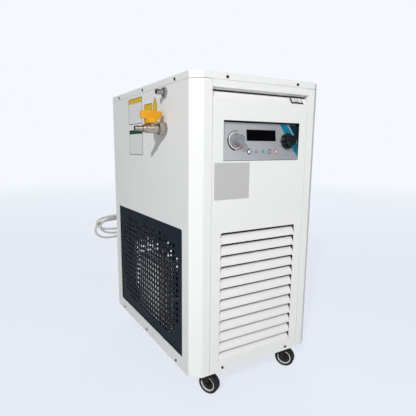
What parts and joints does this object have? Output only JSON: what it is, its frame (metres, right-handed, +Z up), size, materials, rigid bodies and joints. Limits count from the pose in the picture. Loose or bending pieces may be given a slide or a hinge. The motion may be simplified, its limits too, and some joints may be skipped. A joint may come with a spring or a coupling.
{
  "type": "recirculating chiller",
  "caption": "Tall white sheet-metal laboratory chiller on swivel casters with a louvred front, a sloping control panel, a perforated side grille, a ball valve and a hose stub.",
  "frame": {"origin": "on the floor under the middle of the cabinet", "axes": "+X right as seen from the front, +Y back, +Z up"},
  "size_m": [0.4358, 0.6217, 0.74],
  "materials": {
    "white_paint": "white powder coat",
    "grille_paint": "dark blue grey powder coat",
    "zinc_sheet": "galvanised sheet",
    "black_screw": "black screws",
    "control_silver": "silver control plate",
    "control_black": "black moulding",
    "display_black": "glossy black window",
    "lamp_plastic": "small lamps",
    "knob_grey": "grey knob",
    "knob_black": "black knob",
    "chrome": "bright plating",
    "nickel": "nickel plated brass",
    "handle_yellow": "orange yellow handle",
    "aluminium_fins": "aluminium fins",
    "black_steel": "black painted steel",
    "rubber": "rubber",
    "tyre": "black rubber tyre",
    "insulation": "insulated tank casing",
    "copper": "copper pipe",
    "wheel_grey": "wheel centre",
    "cord_grey": "pale grey cord"
  },
  "bodies": {
    "cabinet": {"base_tray": "zinc_sheet", "top_frame": "zinc_sheet", "corner_posts": "white_paint", "top_cover": "white_paint", "top_rail": "white_paint", "front_panel": "white_paint", "left_panel": "white_paint", "right_panel": "white_paint", "rear_panel": "white_paint", "side_grille": "grille_paint", "cover_screws": "black_screw", "panel_screws": "black_screw", "control_housing": "control_black", "control_plate": "control_silver", "display_window": "display_black", "indicator_lamps": "lamp_plastic", "catch_frame": "control_black", "return_stub": "chrome", "side_nuts": "chrome", "valve_body": "nickel", "outlet_barb": "nickel", "condenser": "aluminium_fins", "condenser_plates": "zinc_sheet", "fan_shroud": "black_steel", "fan_straps": "zinc_sheet", "fan_motor": "black_steel", "compressor": "black_steel", "compressor_feet": "rubber", "electric_box": "white_paint", "tank_shelf": "zinc_sheet", "liquid_tank": "insulation", "tank_lid": "insulation", "pump": "black_steel", "coolant_pipes": "rubber", "refrigerant_lines": "copper", "cord_gland": "control_black", "power_cord": "cord_grey", "plug_lead": "cord_grey", "cord_hank": "cord_grey", "cord_hook": "zinc_sheet", "plug": "cord_grey", "caster_plates": "black_steel"},
    "left_knob_turn": {"left_knob": "knob_grey"},
    "right_knob_turn": {"right_knob": "knob_black"},
    "catch_slide": {"catch_bolt": "chrome"},
    "valve_lever": {"valve_handle": "handle_yellow", "valve_stem": "nickel"},
    "fan": {"fan_blades": "control_black"},
    "swivel_front_left": {"fork_front_left": "black_steel"},
    "roller_front_left": {"wheel_front_left": "wheel_grey", "tyre_front_left": "tyre"},
    "swivel_front_right": {"fork_front_right": "black_steel"},
    "roller_front_right": {"wheel_front_right": "wheel_grey", "tyre_front_right": "tyre"},
    "swivel_rear_left": {"fork_rear_left": "black_steel"},
    "roller_rear_left": {"wheel_rear_left": "wheel_grey", "tyre_rear_left": "tyre"},
    "swivel_rear_right": {"fork_rear_right": "black_steel"},
    "roller_rear_right": {"wheel_rear_right": "wheel_grey", "tyre_rear_right": "tyre"}
  },
  "joints": [
    {"name": "left_knob_turn", "type": "hinge", "parent": "cabinet", "child": "left_knob_turn", "pos_m": [-0.071, -0.26768, 0.60341], "axis": [0, -0.9946, 0.1039], "range_deg": [-135, 135]},
    {"name": "right_knob_turn", "type": "hinge", "parent": "cabinet", "child": "right_knob_turn", "pos_m": [0.0756, -0.26768, 0.60341], "axis": [0, -0.9946, 0.1039], "range_deg": [-135, 135]},
    {"name": "catch_slide", "type": "slide", "parent": "cabinet", "child": "catch_slide", "axis": [1, 0, 0], "range_m": [0, 0.0062]},
    {"name": "valve_lever", "type": "hinge", "parent": "cabinet", "child": "valve_lever", "pos_m": [-0.214, -0.131, 0.649], "axis": [0, 0, 1], "range_deg": [0, 90]},
    {"name": "fan_spin", "type": "hinge", "parent": "cabinet", "child": "fan", "pos_m": [0, -0.187, 0.237], "axis": [0, 1, 0], "continuous": true},
    {"name": "swivel_front_left", "type": "hinge", "parent": "cabinet", "child": "swivel_front_left", "pos_m": [-0.1215, -0.22, 0.058], "axis": [0, 0, 1], "continuous": true},
    {"name": "roll_front_left", "type": "hinge", "parent": "swivel_front_left", "child": "roller_front_left", "pos_m": [-0.11493, -0.23236, 0.025], "axis": [0.8829, 0.4695, 0], "continuous": true},
    {"name": "swivel_front_right", "type": "hinge", "parent": "cabinet", "child": "swivel_front_right", "pos_m": [0.1215, -0.22, 0.058], "axis": [0, 0, 1], "continuous": true},
    {"name": "roll_front_right", "type": "hinge", "parent": "swivel_front_right", "child": "roller_front_right", "pos_m": [0.12912, -0.23174, 0.025], "axis": [0.8387, 0.5446, 0], "continuous": true},
    {"name": "swivel_rear_left", "type": "hinge", "parent": "cabinet", "child": "swivel_rear_left", "pos_m": [-0.1215, 0.22, 0.058], "axis": [0, 0, 1], "continuous": true},
    {"name": "roll_rear_left", "type": "hinge", "parent": "swivel_rear_left", "child": "roller_rear_left", "pos_m": [-0.11788, 0.20648, 0.025], "axis": [0.9659, 0.2588, 0], "continuous": true},
    {"name": "swivel_rear_right", "type": "hinge", "parent": "cabinet", "child": "swivel_rear_right", "pos_m": [0.1215, 0.22, 0.058], "axis": [0, 0, 1], "continuous": true},
    {"name": "roll_rear_right", "type": "hinge", "parent": "swivel_rear_right", "child": "roller_rear_right", "pos_m": [0.1305, 0.20927, 0.025], "axis": [0.766, 0.6428, 0], "continuous": true}
  ]
}
